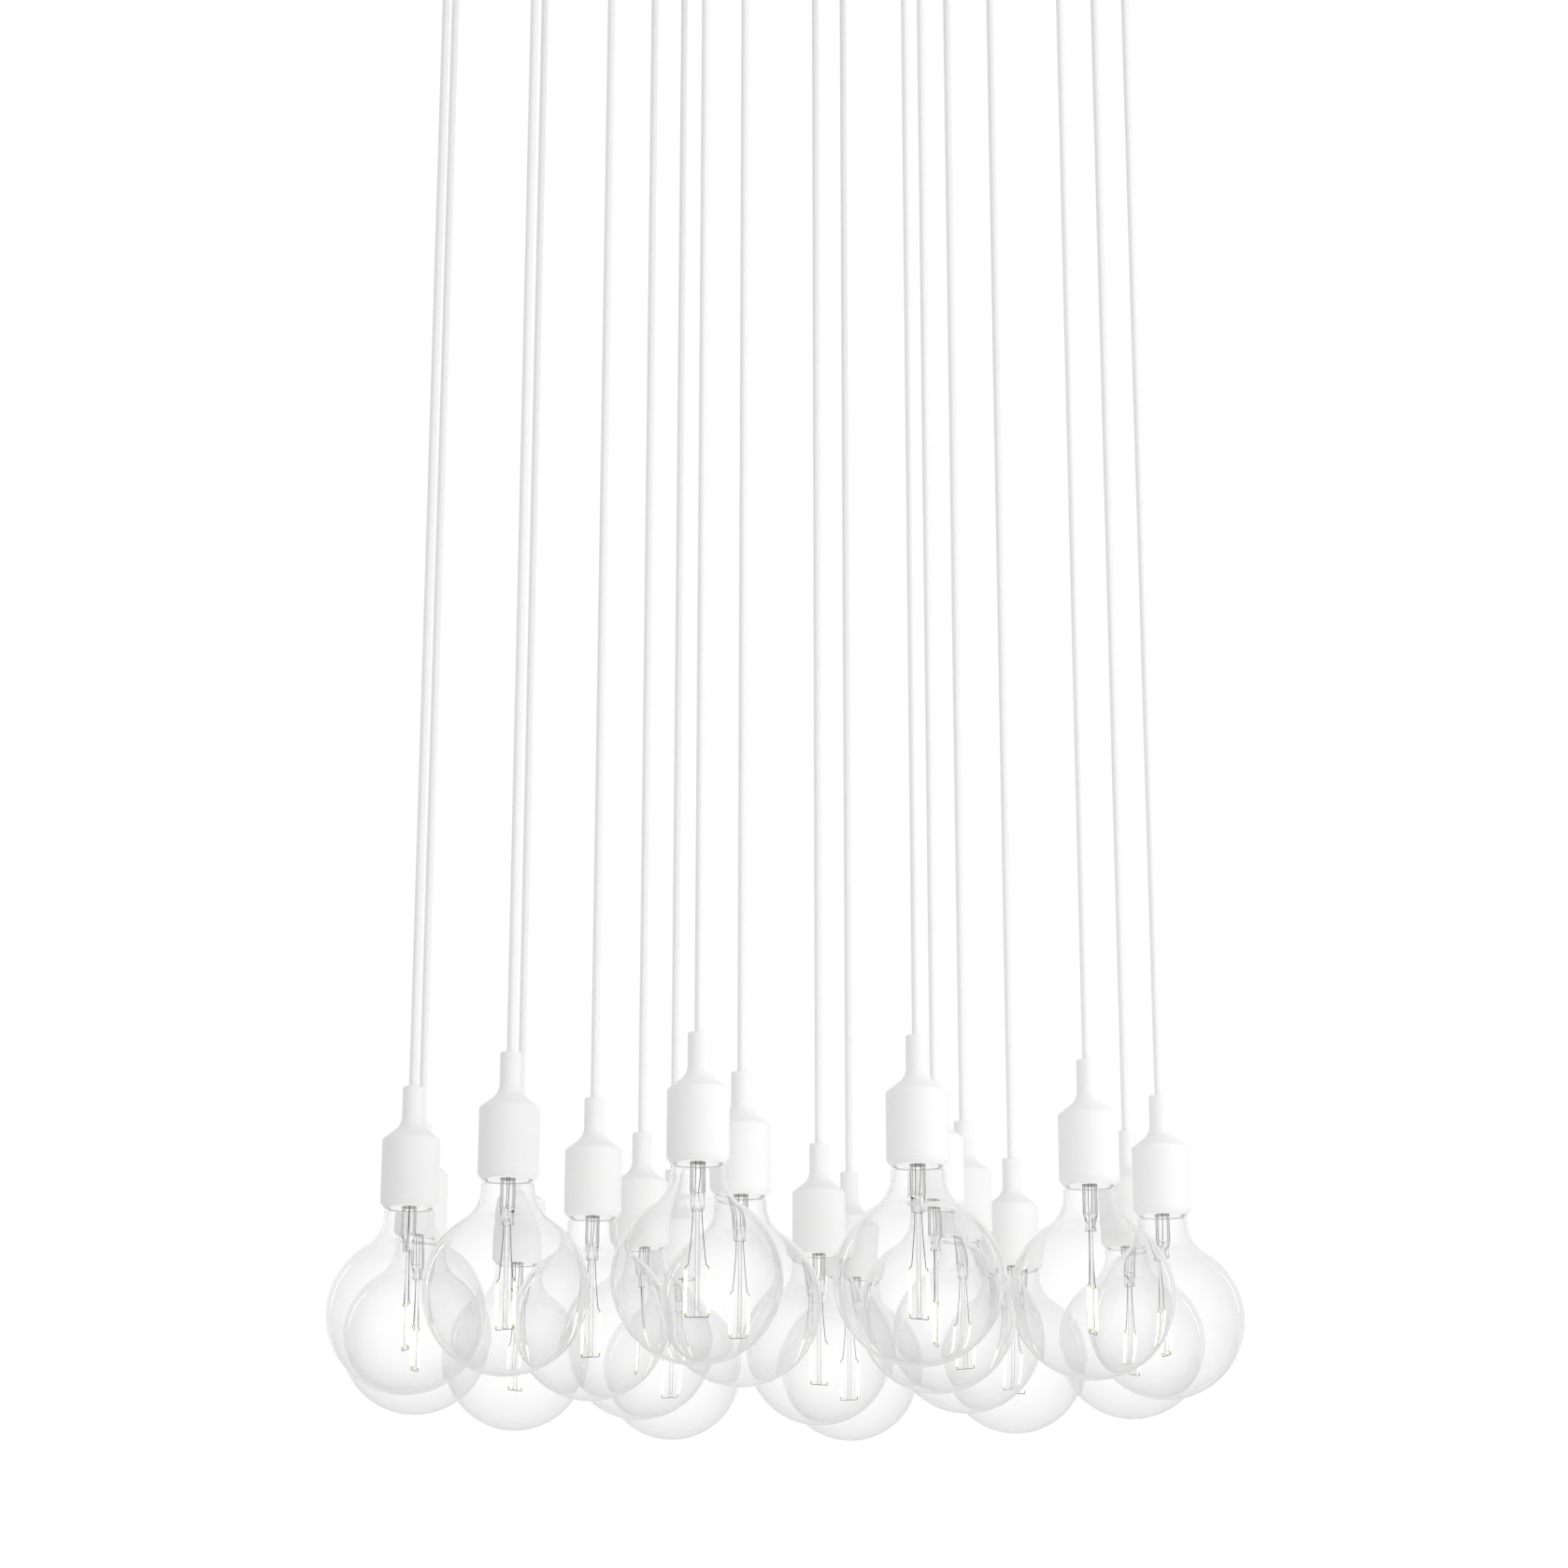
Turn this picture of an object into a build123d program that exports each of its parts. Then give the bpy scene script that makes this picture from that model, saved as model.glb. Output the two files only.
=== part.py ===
from build123d import *
import math
import os

# Cluster pendant: eighteen clear globe bulbs in sleeved lampholders, each on its own
# straight cord, hung in two rings from one round ceiling canopy.
# Frame: origin on the ceiling face at the centre of the canopy, +Z up, millimetres.
# +Y leads away from the viewer, +X to the right. A "depth" is a distance below the top
# of a pendant's neck.

# --- the cluster's plan -----------------------------------------------------------
OUTER_COUNT = 12
OUTER_RADIUS = 311.0
INNER_COUNT = 6
INNER_RADIUS = 161.0
RING_TURN = 18.63  # degrees from +X to the first lamp of both rings
# How far each bulb stands turned in its thread, in degrees, by lamp number.
BULB_TURNS = [47, 10, 15, 12, 52, 76, -66, -34, 0, 36, 66, -74, -31, 32, 90, -30, 30, 75]

# --- ceiling canopy ---------------------------------------------------------------
CANOPY_RADIUS = 350.0
CANOPY_DEPTH = 32.0
CANOPY_WALL = 1.5
CANOPY_EDGE = 5.0
GRIP_HOLE_RADIUS = 5.1
SCREW_CLEARANCE_RADIUS = 2.2

# --- ceiling bracket --------------------------------------------------------------
BRACKET_THICK = 3.0
BRACKET_HUB_RADIUS = 75.0
BRACKET_ARM_WIDTH = 36.0
BRACKET_GAP = 1.0  # arm tab to canopy wall
TAB_DROP = 22.0
CABLE_HOLE_RADIUS = 11.0
CEILING_PCD = 110.0
CEILING_HOLE_RADIUS = 2.75
CEILING_HOLES = 4
ARM_COUNT = 4
ARM_TURN = RING_TURN + 15.0  # arms lie half way between two cords
CANOPY_SCREW_LEVEL = -14.0
CANOPY_SCREW_RADIUS = 2.0
CANOPY_SCREW_HEAD = (3.8, 2.2)

# --- terminal block ---------------------------------------------------------------
TERMINAL_SIZE = (46.0, 24.0, 17.0)
TERMINAL_WAYS = 3
TERMINAL_PITCH = 14.0
TERMINAL_HOLE_RADIUS = 2.6

# --- cord grips in the canopy floor -----------------------------------------------
GRIP_STEM_RADIUS = 5.0
GRIP_COLLAR_RADIUS = 8.0
GRIP_COLLAR = 3.0
GRIP_TIP_RADIUS = 5.6
GRIP_LENGTH = 10.0  # below the canopy
GRIP_NUT_ACROSS = 14.0
GRIP_NUT_THICK = 4.0
GRIP_STUB = 6.0  # threaded end above the nut

# --- cord -------------------------------------------------------------------------
CORD_RADIUS = 3.2
CORD_FREE = 1250.0  # from the grip to the top of the neck
CORD_IN_NECK = 14.0

# --- lampholder sleeve ------------------------------------------------------------
NECK_RADIUS = 8.0
NECK_LENGTH = 24.0
NECK_EDGE = 0.8
CORD_HOLE_RADIUS = 3.35
FLARE_RADIUS = 14.5
FLARE_TURN = 52.0
BODY_RADIUS = 23.0
SHOULDER_EDGE = 1.6
CHAMFER_TOP = 93.3
SLEEVE_DEPTH = 97.7
RIM_RADIUS = 19.4
LIP_RADIUS = 18.3
LIP_THICK = 2.5

# --- lampholder inside the sleeve -------------------------------------------------
HOLDER_RADIUS = 20.5
HOLDER_TOP = 47.0
HOLDER_EDGE = 4.0
ENTRY_RADIUS = 5.0
THREAD_RADIUS = 13.9
THREAD_TOP = 58.0
THREAD_END = 84.0
TONGUE_RADIUS = 3.0
TONGUE_THICK = 1.2

# --- screw cap of the bulb --------------------------------------------------------
CAP_RADIUS = 13.15
CAP_WALL = 0.5
CAP_TOP = 63.0
CAP_SHOULDER = 66.0
CAP_END = 88.0
INSULATOR_RADIUS = 10.0
CONTACT_RADIUS = 4.7
CONTACT_THICK = 1.6
BOARD = (14.0, 1.2, 13.0)  # driver board standing inside the cap
BOARD_TOP = 65.0

# --- glass ------------------------------------------------------------------------
GLOBE_RADIUS = 62.5
GLOBE_CENTRE = 181.1
GLASS_WALL = 0.8
GLASS_TOP = 80.0
SEAT_RADIUS = 12.4  # glass cemented into the cap
THROAT_RADIUS = 17.8
THROAT_TOP = 95.0
THROAT_END = 98.0
GLASS_NECK_RADIUS = 20.0
GLASS_NECK_TOP = 102.0
GLASS_NECK_END = 104.0
STEM_RADIUS = 5.6
STEM_TOP = 92.0
STEM_STEP = 119.0
STEM_FOOT_RADIUS = 5.2  # below the step, where the tube is closed
STEM_FOOT_EDGE = 1.6
PINCH_TOP = 120.2  # pressed from two sides between here and the stem's end
PINCH_WAIST = (2.8, 126.8)  # half thickness and depth of its thinnest place
PINCH_FOOT = 4.2  # half thickness at the end, where the wires come out
STEM_END = 131.8
SHIELD_TOP = 95.6  # white disc round the stem, just inside the throat
SHIELD_RADIUS = 16.8
SHIELD_THICK = 1.2
ROD_RADIUS = 1.65
ROD_END = 208.7
BEAD_RADIUS = 2.3  # knob at the rod's end that carries the crossbar
BEAD_TOP = 205.0
BEAD_MIDDLE = 207.2
BEAD_FLAT = 1.2

# --- wires and light filaments ----------------------------------------------------
WIRE_RADIUS = 0.35
WIRE_START = 2.6  # beside the axis, at the stem's end
WIRE_BEND = 0.9
HOOK_START = (6.5, 171.0)  # where a support wire turns outwards, radius and depth
HOOK_LEVEL = 172.2
FILAMENT_OFFSET = 8.4
FILAMENT_RADIUS = 1.0
FILAMENT_TOP = 173.8
FILAMENT_END = 207.2
BAR_RADIUS = 0.4  # crossbar, turned up at both ends into the filaments

canopy_floor = -CANOPY_DEPTH
cord_exit = canopy_floor - GRIP_LENGTH
neck_top = cord_exit - CORD_FREE


def ring_spots(count, radius):
    """Plan positions of one ring, the first at RING_TURN, then anticlockwise."""
    angles = [math.radians(RING_TURN + 360.0 * i / count) for i in range(count)]
    return [(radius * math.cos(a), radius * math.sin(a)) for a in angles]


spots = ring_spots(OUTER_COUNT, OUTER_RADIUS) + ring_spots(INNER_COUNT, INNER_RADIUS)


def upright(spot, level, turn=0.0):
    """An upright plane through a pendant's axis: local x outwards, local y up."""
    a = math.radians(turn)
    return Plane(
        origin=(spot[0], spot[1], level),
        x_dir=(math.cos(a), math.sin(a), 0),
        z_dir=(math.sin(a), -math.cos(a), 0),
    )


def axis_of(face):
    return Axis(face.origin, (0, 0, 1))


def save(name, *pieces):
    """Writes one node: a single solid, or separate solids that travel together."""
    if len(pieces) == 1:
        node = pieces[0].part
    else:
        node = Compound(children=[piece.part for piece in pieces])
    node.label = name
    export_step(node, f"parts/{name}.step")


# --- ceiling side -----------------------------------------------------------------
def build_canopy():
    """Pressed round pan, open to the ceiling, with a hole for every cord grip."""
    with BuildPart() as canopy:
        with BuildSketch(Plane.XY.offset(canopy_floor)):
            Circle(CANOPY_RADIUS)
        extrude(amount=CANOPY_DEPTH)
        fillet(canopy.faces().sort_by(Axis.Z)[0].edges(), CANOPY_EDGE)
        offset(amount=-CANOPY_WALL, openings=canopy.faces().sort_by(Axis.Z)[-1])
        with BuildSketch(Plane.XY.offset(canopy_floor)):
            with Locations(*spots):
                Circle(GRIP_HOLE_RADIUS)
        extrude(amount=CANOPY_WALL, mode=Mode.SUBTRACT)
        for arm in range(ARM_COUNT):
            side = arm_side(arm, CANOPY_RADIUS + 1.0)
            with BuildSketch(side):
                Circle(SCREW_CLEARANCE_RADIUS)
            extrude(amount=-CANOPY_WALL - 2.0, mode=Mode.SUBTRACT)
    return canopy


def arm_side(arm, distance):
    """A plane that faces outwards at the end of one bracket arm."""
    a = math.radians(ARM_TURN + 360.0 / ARM_COUNT * arm)
    out = Vector(math.cos(a), math.sin(a), 0)
    return Plane(
        origin=out * distance + Vector(0, 0, CANOPY_SCREW_LEVEL),
        x_dir=(-math.sin(a), math.cos(a), 0),
        z_dir=out,
    )


def build_bracket():
    """Four-armed steel plate screwed to the ceiling; its tabs take the side screws."""
    reach = CANOPY_RADIUS - CANOPY_WALL - BRACKET_GAP
    with BuildPart() as bracket:
        with BuildSketch(Plane.XY.offset(-BRACKET_THICK)):
            Circle(BRACKET_HUB_RADIUS)
            with PolarLocations(reach / 2, ARM_COUNT, start_angle=ARM_TURN):
                Rectangle(reach, BRACKET_ARM_WIDTH)
            Circle(CABLE_HOLE_RADIUS, mode=Mode.SUBTRACT)
            with PolarLocations(CEILING_PCD / 2, CEILING_HOLES, start_angle=ARM_TURN + 45):
                Circle(CEILING_HOLE_RADIUS, mode=Mode.SUBTRACT)
        extrude(amount=BRACKET_THICK)
        for arm in range(ARM_COUNT):
            a = ARM_TURN + 360.0 / ARM_COUNT * arm
            with BuildSketch(Plane.XY.offset(-TAB_DROP)):
                with PolarLocations(reach - BRACKET_THICK / 2, 1, start_angle=a):
                    Rectangle(BRACKET_THICK, BRACKET_ARM_WIDTH)
            extrude(amount=TAB_DROP)
            with BuildSketch(arm_side(arm, reach + 1.0)):
                Circle(CANOPY_SCREW_RADIUS + 0.05)
            extrude(amount=-BRACKET_THICK - 2.0, mode=Mode.SUBTRACT)
    return bracket


def build_canopy_screws():
    """Four pan-head screws through the canopy's wall into the bracket's tabs."""
    shank = CANOPY_WALL + BRACKET_GAP + BRACKET_THICK + 2.0
    with BuildPart() as screws:
        for arm in range(ARM_COUNT):
            with BuildSketch(arm_side(arm, CANOPY_RADIUS)):
                Circle(CANOPY_SCREW_RADIUS)
            extrude(amount=-shank)
            with BuildSketch(arm_side(arm, CANOPY_RADIUS)):
                Circle(CANOPY_SCREW_HEAD[0])
            extrude(amount=CANOPY_SCREW_HEAD[1], taper=20)
    return screws


def build_terminal_block():
    """Three-way block on the underside of the bracket, beside the cable hole."""
    length, width, height = TERMINAL_SIZE
    beside = (0, -CABLE_HOLE_RADIUS - width)
    with BuildPart() as block:
        with BuildSketch(Plane.XY.offset(-BRACKET_THICK - height)):
            with Locations(beside):
                RectangleRounded(length, width, 2.0)
        extrude(amount=height)
        front = Plane(
            origin=(0, beside[1] - width / 2, -BRACKET_THICK - height / 2),
            x_dir=(1, 0, 0),
            z_dir=(0, -1, 0),
        )
        with BuildSketch(front):
            with GridLocations(TERMINAL_PITCH, 0, TERMINAL_WAYS, 1):
                Circle(TERMINAL_HOLE_RADIUS)
        extrude(amount=-width, mode=Mode.SUBTRACT)
    return block


def build_cord_grips():
    """Eighteen grips: collar and tapered tip below the canopy, stem and nut above."""
    inside = canopy_floor + CANOPY_WALL
    with BuildPart() as grips:
        for spot in spots:
            face = upright(spot, canopy_floor)
            with BuildSketch(face):
                with BuildLine():
                    Polyline(
                        (0, -GRIP_LENGTH),
                        (GRIP_TIP_RADIUS, -GRIP_LENGTH),
                        (GRIP_COLLAR_RADIUS, -GRIP_COLLAR),
                        (GRIP_COLLAR_RADIUS, 0),
                        (GRIP_STEM_RADIUS, 0),
                        (GRIP_STEM_RADIUS, CANOPY_WALL + GRIP_NUT_THICK + GRIP_STUB),
                        (0, CANOPY_WALL + GRIP_NUT_THICK + GRIP_STUB),
                        close=True,
                    )
                make_face()
            revolve(axis=axis_of(face))
        with BuildSketch(Plane.XY.offset(inside)):
            with Locations(*spots):
                RegularPolygon(GRIP_NUT_ACROSS / 2, 6, major_radius=False)
        extrude(amount=GRIP_NUT_THICK)
    return grips


# --- one pendant ------------------------------------------------------------------
def build_cord(spot):
    """Plain round cord, pulled straight by the lamp; its end sits inside the neck."""
    with BuildPart() as cord:
        with BuildSketch(Plane(origin=(spot[0], spot[1], cord_exit))):
            Circle(CORD_RADIUS)
        extrude(amount=-CORD_FREE - CORD_IN_NECK)
    return cord


def build_sleeve(spot):
    """Soft moulded sleeve: slim neck, concave flare, cylinder and inturned lip."""
    face = upright(spot, neck_top)
    turn = math.radians(FLARE_TURN)
    flare_out = FLARE_RADIUS * (1 - math.cos(turn))
    flare_down = FLARE_RADIUS * math.sin(turn)
    slope_down = (BODY_RADIUS - NECK_RADIUS - flare_out) / math.tan(turn)
    shoulder = NECK_LENGTH + flare_down + slope_down
    with BuildPart() as sleeve:
        with BuildSketch(face) as profile:
            with BuildLine():
                Polyline(
                    (CORD_HOLE_RADIUS, 0),
                    (NECK_RADIUS - NECK_EDGE, 0),
                    (NECK_RADIUS, -NECK_EDGE),
                    (NECK_RADIUS, -NECK_LENGTH),
                )
                flare = JernArc(
                    start=(NECK_RADIUS, -NECK_LENGTH),
                    tangent=(0, -1),
                    radius=FLARE_RADIUS,
                    arc_size=FLARE_TURN,
                )
                Polyline(
                    flare @ 1,
                    (BODY_RADIUS - SHOULDER_EDGE, -shoulder + SHOULDER_EDGE / math.tan(turn)),
                    (BODY_RADIUS, -shoulder - SHOULDER_EDGE / 2),
                    (BODY_RADIUS, -CHAMFER_TOP),
                    (RIM_RADIUS, -SLEEVE_DEPTH),
                    (LIP_RADIUS, -SLEEVE_DEPTH),
                    (LIP_RADIUS, -SLEEVE_DEPTH + LIP_THICK),
                    (HOLDER_RADIUS, -SLEEVE_DEPTH + LIP_THICK),
                    (HOLDER_RADIUS, -HOLDER_TOP - HOLDER_EDGE),
                    (HOLDER_RADIUS - HOLDER_EDGE, -HOLDER_TOP),
                    (ENTRY_RADIUS, -HOLDER_TOP),
                    (ENTRY_RADIUS, -CORD_IN_NECK),
                    (CORD_HOLE_RADIUS, -CORD_IN_NECK),
                    (CORD_HOLE_RADIUS, 0),
                )
            make_face()
        revolve(axis=axis_of(face))
    return sleeve


def build_holder(spot):
    """Lampholder body: cord entry on top, threaded bore and flared mouth below."""
    face = upright(spot, neck_top)
    mouth = SLEEVE_DEPTH - LIP_THICK
    with BuildPart() as holder:
        with BuildSketch(face):
            with BuildLine():
                Polyline(
                    (0, -CORD_IN_NECK),
                    (ENTRY_RADIUS, -CORD_IN_NECK),
                    (ENTRY_RADIUS, -HOLDER_TOP),
                    (HOLDER_RADIUS - HOLDER_EDGE, -HOLDER_TOP),
                    (HOLDER_RADIUS, -HOLDER_TOP - HOLDER_EDGE),
                    (HOLDER_RADIUS, -mouth),
                    (LIP_RADIUS, -mouth),
                    (THREAD_RADIUS, -THREAD_END),
                    (THREAD_RADIUS, -THREAD_TOP),
                    (0, -THREAD_TOP),
                    close=True,
                )
            make_face()
        revolve(axis=axis_of(face))
    return holder


def build_disc(spot, radius, top, thick):
    with BuildPart() as disc:
        with BuildSketch(Plane(origin=(spot[0], spot[1], neck_top - top))):
            Circle(radius)
        extrude(amount=-thick)
    return disc


def build_glass(spot, turn):
    """Blown globe with its neck, and the stem and rod sealed into it, as one glass."""
    face = upright(spot, neck_top, turn)
    # The neck runs into the globe through a concave arc that touches both.
    rise = GLOBE_CENTRE - GLASS_NECK_END
    reach = GLOBE_RADIUS**2 - GLASS_NECK_RADIUS**2 - rise**2
    flare = reach / (2 * (GLASS_NECK_RADIUS - GLOBE_RADIUS))
    centre_x = GLASS_NECK_RADIUS + flare
    slope = math.atan2(rise, centre_x)
    bend = math.degrees(slope)
    with BuildPart() as glass:
        with BuildSketch(face):
            with BuildLine():
                Polyline(
                    (0, -GLASS_TOP),
                    (SEAT_RADIUS, -GLASS_TOP),
                    (SEAT_RADIUS, -CAP_END),
                    (THROAT_RADIUS, -THROAT_TOP),
                    (THROAT_RADIUS, -THROAT_END),
                )
                ThreePointArc(
                    (THROAT_RADIUS, -THROAT_END),
                    (GLASS_NECK_RADIUS - 0.6, -THROAT_END - 1.5),
                    (GLASS_NECK_RADIUS, -GLASS_NECK_TOP),
                )
                Line((GLASS_NECK_RADIUS, -GLASS_NECK_TOP), (GLASS_NECK_RADIUS, -GLASS_NECK_END))
                outer = JernArc(
                    start=(GLASS_NECK_RADIUS, -GLASS_NECK_END),
                    tangent=(0, -1),
                    radius=flare,
                    arc_size=bend,
                )
                ThreePointArc(
                    outer @ 1,
                    (GLOBE_RADIUS, -GLOBE_CENTRE),
                    (0, -GLOBE_CENTRE - GLOBE_RADIUS),
                )
                Line((0, -GLOBE_CENTRE - GLOBE_RADIUS), (0, -GLASS_TOP))
            make_face()
            with BuildLine():
                inner_radius = GLOBE_RADIUS - GLASS_WALL
                inner_neck = GLASS_NECK_RADIUS - GLASS_WALL
                Polyline(
                    (0, -GLOBE_CENTRE - inner_radius),
                    (0, -ROD_END),
                    (BEAD_FLAT, -ROD_END),
                )
                ThreePointArc(
                    (BEAD_FLAT, -ROD_END),
                    (BEAD_RADIUS, -BEAD_MIDDLE),
                    (ROD_RADIUS, -BEAD_TOP),
                )
                Polyline(
                    (ROD_RADIUS, -BEAD_TOP),
                    (ROD_RADIUS, -STEM_END),
                    (STEM_FOOT_RADIUS - STEM_FOOT_EDGE, -STEM_END),
                )
                foot = JernArc(
                    start=(STEM_FOOT_RADIUS - STEM_FOOT_EDGE, -STEM_END),
                    tangent=(1, 0),
                    radius=STEM_FOOT_EDGE,
                    arc_size=90,
                )
                Polyline(
                    foot @ 1,
                    (STEM_FOOT_RADIUS, -STEM_STEP),
                    (STEM_RADIUS, -STEM_STEP),
                    (STEM_RADIUS, -STEM_TOP),
                    (SEAT_RADIUS - GLASS_WALL, -GLASS_TOP - 4.0),
                    (SEAT_RADIUS - GLASS_WALL, -CAP_END - 0.5),
                    (THROAT_RADIUS - GLASS_WALL, -THROAT_TOP - 0.5),
                    (THROAT_RADIUS - GLASS_WALL, -THROAT_END - 0.5),
                    (inner_neck, -GLASS_NECK_TOP),
                    (inner_neck, -GLASS_NECK_END),
                )
                inside = JernArc(
                    start=(inner_neck, -GLASS_NECK_END),
                    tangent=(0, -1),
                    radius=flare + GLASS_WALL,
                    arc_size=bend,
                )
                ThreePointArc(
                    inside @ 1,
                    (inner_radius, -GLOBE_CENTRE),
                    (0, -GLOBE_CENTRE - inner_radius),
                )
            make_face(mode=Mode.SUBTRACT)
        revolve(axis=axis_of(face))
        # The stem's end is pressed flat from two sides, round the wires.
        with BuildSketch(upright(spot, neck_top, turn + 90)):
            with BuildLine():
                ThreePointArc(
                    (STEM_FOOT_RADIUS + 0.1, -PINCH_TOP),
                    (PINCH_WAIST[0], -PINCH_WAIST[1]),
                    (PINCH_FOOT, -STEM_END),
                )
                Polyline(
                    (PINCH_FOOT, -STEM_END),
                    (PINCH_FOOT, -STEM_END - 0.5),
                    (STEM_RADIUS + 1.0, -STEM_END - 0.5),
                    (STEM_RADIUS + 1.0, -PINCH_TOP),
                    (STEM_FOOT_RADIUS + 0.1, -PINCH_TOP),
                )
            make_face()
            mirror(about=Plane.YZ)
        extrude(amount=STEM_RADIUS + 1.0, both=True, mode=Mode.SUBTRACT)
    return glass


def build_shield(spot):
    """White disc round the stem, inside the throat, that hides the cap from below."""
    with BuildPart() as shield:
        with BuildSketch(Plane(origin=(spot[0], spot[1], neck_top - SHIELD_TOP))):
            Circle(SHIELD_RADIUS)
            Circle(STEM_RADIUS, mode=Mode.SUBTRACT)
        extrude(amount=-SHIELD_THICK)
    return shield


def build_cap(spot):
    """Screw shell of the bulb, a thin cup with a shouldered top."""
    face = upright(spot, neck_top)
    with BuildPart() as cap:
        with BuildSketch(face):
            with BuildLine():
                Polyline(
                    (0, -CAP_TOP),
                    (INSULATOR_RADIUS, -CAP_TOP),
                    (CAP_RADIUS, -CAP_SHOULDER),
                    (CAP_RADIUS, -CAP_END),
                    (CAP_RADIUS - CAP_WALL, -CAP_END),
                    (CAP_RADIUS - CAP_WALL, -CAP_SHOULDER - CAP_WALL),
                    (INSULATOR_RADIUS - CAP_WALL, -CAP_TOP - CAP_WALL),
                    (0, -CAP_TOP - CAP_WALL),
                    close=True,
                )
            make_face()
        revolve(axis=axis_of(face))
    return cap


def build_insulator(spot):
    """Low glass cone between the screw shell and the end contact."""
    face = upright(spot, neck_top)
    top = THREAD_TOP + TONGUE_THICK + CONTACT_THICK
    with BuildPart() as insulator:
        with BuildSketch(face):
            with BuildLine():
                Polyline(
                    (0, -top),
                    (CONTACT_RADIUS, -top),
                    (INSULATOR_RADIUS, -CAP_TOP),
                    (0, -CAP_TOP),
                    close=True,
                )
            make_face()
        revolve(axis=axis_of(face))
    return insulator


def build_board(spot, turn):
    """Driver board that stands on edge inside the screw shell."""
    with BuildPart() as board:
        floor = Plane(
            origin=(spot[0], spot[1], neck_top - BOARD_TOP),
            x_dir=(math.cos(math.radians(turn)), math.sin(math.radians(turn)), 0),
        )
        with BuildSketch(floor):
            Rectangle(BOARD[0], BOARD[1])
        extrude(amount=-BOARD[2])
    return board


def wire_routes():
    """Radius and bent route, as (x, depth) points, of each support and the crossbar."""
    bar_level = ROD_END + BAR_RADIUS
    supports = [
        (
            WIRE_RADIUS,
            (side * WIRE_START, STEM_END),
            (side * HOOK_START[0], HOOK_START[1]),
            (side * FILAMENT_OFFSET, HOOK_LEVEL),
            (side * FILAMENT_OFFSET, FILAMENT_TOP + 1.0),
        )
        for side in (-1, 1)
    ]
    crossbar = (
        BAR_RADIUS,
        (-FILAMENT_OFFSET, FILAMENT_END - 1.0),
        (-FILAMENT_OFFSET, bar_level),
        (FILAMENT_OFFSET, bar_level),
        (FILAMENT_OFFSET, FILAMENT_END - 1.0),
    )
    return supports + [crossbar]


def build_light(spot, turn):
    """Two hooked support wires, two straight filaments and the crossbar, as one frame."""
    face = upright(spot, neck_top, turn)
    with BuildPart() as light:
        for radius, *points in wire_routes():
            with BuildLine(face) as route:
                FilletPolyline(*[(x, -depth) for x, depth in points], radius=WIRE_BEND)
            with BuildSketch(Plane(origin=route.line @ 0, z_dir=route.line % 0)):
                Circle(radius)
            sweep(path=route.line)
        for side in (-1, 1):
            top = face.from_local_coords(Vector(side * FILAMENT_OFFSET, -FILAMENT_TOP, 0))
            with BuildSketch(Plane(origin=top)):
                Circle(FILAMENT_RADIUS)
            extrude(amount=FILAMENT_TOP - FILAMENT_END)
    return light


# --- the whole cluster ------------------------------------------------------------
os.makedirs("parts", exist_ok=True)
save("canopy", build_canopy())
save("ceiling_bracket", build_bracket())
save("canopy_screws", build_canopy_screws())
save("terminal_block", build_terminal_block())
save("cord_grips", build_cord_grips())
for number, (spot, turn) in enumerate(zip(spots, BULB_TURNS), start=1):
    save(f"cord_{number:02d}", build_cord(spot))
    save(
        f"lampholder_{number:02d}",
        build_sleeve(spot),
        build_holder(spot),
        build_disc(spot, TONGUE_RADIUS, THREAD_TOP, TONGUE_THICK),
    )
    save(
        f"bulb_{number:02d}",
        build_glass(spot, turn),
        build_cap(spot),
        build_insulator(spot),
        build_disc(spot, CONTACT_RADIUS, THREAD_TOP + TONGUE_THICK, CONTACT_THICK),
        build_board(spot, turn),
        build_light(spot, turn),
        build_shield(spot),
    )
print("height", CANOPY_DEPTH + GRIP_LENGTH + CORD_FREE + GLOBE_CENTRE + GLOBE_RADIUS)
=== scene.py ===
# %% [markdown]
# # A cluster pendant with eighteen clear globe bulbs
# Eighteen white cords drop straight from one round canopy. Each ends in a soft white
# sleeve over a lampholder, and each lampholder carries a clear glass globe with two
# straight light filaments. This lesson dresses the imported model: the frame says where
# every piece is, and the cells below make what the eye sees.

# %% Load the frame
import bpy
import bmesh
import math
from mathutils import Matrix, Vector


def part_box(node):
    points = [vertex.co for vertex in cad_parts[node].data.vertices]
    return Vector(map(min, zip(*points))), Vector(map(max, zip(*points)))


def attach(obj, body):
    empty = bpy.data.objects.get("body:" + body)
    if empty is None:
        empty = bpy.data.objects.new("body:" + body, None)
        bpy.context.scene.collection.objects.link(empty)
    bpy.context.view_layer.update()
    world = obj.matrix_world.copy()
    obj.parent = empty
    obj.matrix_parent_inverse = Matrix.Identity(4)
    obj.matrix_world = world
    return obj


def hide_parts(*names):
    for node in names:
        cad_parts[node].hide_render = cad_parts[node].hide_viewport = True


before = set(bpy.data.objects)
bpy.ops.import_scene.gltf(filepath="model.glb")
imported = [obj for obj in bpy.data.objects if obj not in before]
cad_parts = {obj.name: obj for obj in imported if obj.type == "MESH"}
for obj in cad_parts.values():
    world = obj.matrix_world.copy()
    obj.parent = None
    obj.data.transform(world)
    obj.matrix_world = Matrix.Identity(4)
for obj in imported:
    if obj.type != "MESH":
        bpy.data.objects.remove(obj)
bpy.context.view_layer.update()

# %% [markdown]
# The lamps are found in the frame, not typed in again. A lampholder's box gives the
# pendant's axis and the level of its neck, and the cord's box gives the cord's top.

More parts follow.
